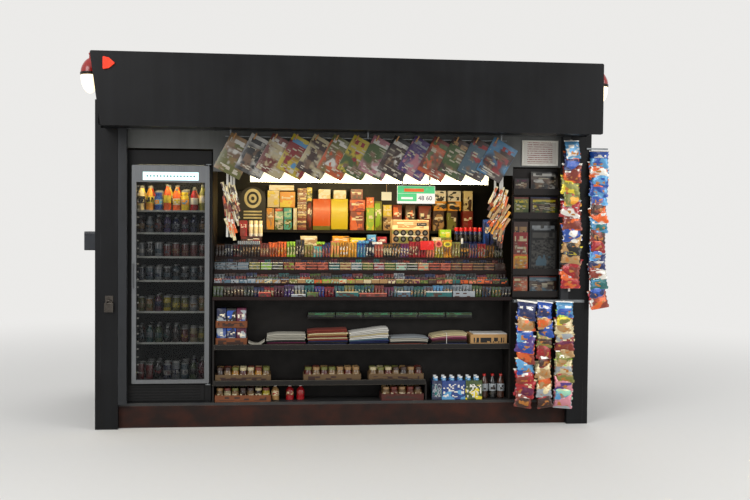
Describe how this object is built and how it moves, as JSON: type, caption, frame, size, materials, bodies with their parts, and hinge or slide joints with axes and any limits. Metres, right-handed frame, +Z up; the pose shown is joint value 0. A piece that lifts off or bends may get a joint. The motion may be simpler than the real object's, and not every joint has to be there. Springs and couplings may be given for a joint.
{
  "type": "street kiosk",
  "caption": "Free-standing street newsstand of black sheet steel with a projecting shutter box, serving bay, stepped rack, drinks fridge and hung stock.",
  "frame": {"origin": "on the ground under the middle of the cabin's footprint", "axes": "+Z up, the open front faces -Y, +X to the right seen from the front"},
  "size_m": [3.905, 2.166, 2.698],
  "materials": {
    "black_paint": "semi-gloss enamel",
    "box_plastic": "moulded housing",
    "brass_lock": "worn brass",
    "cabinet_black": "satin",
    "candy": "printed wrappers",
    "card": "corrugated card",
    "counter_laminate": "laminated board",
    "door_aluminium": "anodised",
    "door_glass": "float glass",
    "drinks": "PET bottles",
    "floor_plate": "chequer plate",
    "frame_white": "white frame",
    "galvanised": "galvanised steel",
    "grey_paint": "satin enamel",
    "lamp_glass": "opal glass",
    "lamp_metal": "red enamel",
    "lens_red": "moulded lens",
    "magazine_paper": "coated paper",
    "paper": "newsprint",
    "rack_steel": "dark powder coat",
    "red_oxide_paint": "matt red oxide enamel",
    "shelf_wire": "white powder coat",
    "shutter_steel": "galvanised slats",
    "sign_acrylic": "backlit acrylic",
    "snack_film": "printed film bags",
    "tube": "fluorescent tube",
    "white_enamel": "white enamel"
  },
  "bodies": {
    "cabin": {"back_shelf": "rack_steel", "back_wall": "black_paint", "base_plinth": "red_oxide_paint", "candy_packs": "candy", "candy_rack": "rack_steel", "counter_panel": "rack_steel", "display_ends": "rack_steel", "display_shelves": "rack_steel", "drink_cartons": "card", "fascia_board": "black_paint", "fascia_casing": "black_paint", "fascia_ends": "black_paint", "floor_goods": "drinks", "floor_plate": "floor_plate", "fridge_cabinet": "cabinet_black", "fridge_drinks": "drinks", "fridge_hinges": "galvanised", "fridge_kick": "cabinet_black", "fridge_shelves": "shelf_wire", "hanging_card": "card", "header_panel": "grey_paint", "lamp_caps": "lamp_metal", "lamp_glasses": "lamp_glass", "left_corner_post": "black_paint", "left_wall": "black_paint", "light_batten": "white_enamel", "light_tubes": "tube", "magazine_rail": "galvanised", "magazines": "magazine_paper", "marker_lens": "lens_red", "newspapers": "paper", "notice_frame": "frame_white", "pack_stack": "snack_film", "padlock": "brass_lock", "rack_magazines": "magazine_paper", "rack_panel": "rack_steel", "right_corner_post": "black_paint", "right_wall": "black_paint", "rolled_shutter": "shutter_steel", "roof_panel": "black_paint", "serving_counter": "counter_laminate", "serving_strips": "snack_film", "shutter_guides": "galvanised", "snack_hangers": "galvanised", "snack_strips": "snack_film", "soffit": "black_paint", "stock_boxes": "card", "wall_box": "box_plastic"},
    "fridge_leaf": {"fridge_door": "door_aluminium", "fridge_door_glass": "door_glass", "fridge_sign_panel": "sign_acrylic"}
  },
  "joints": [
    {"name": "fridge_door_hinge", "type": "hinge", "parent": "cabin", "child": "fridge_leaf", "pos_m": [-1.028, -0.857, 0.322], "axis": [0, 0, 1], "range_deg": [0, 100]}
  ]
}
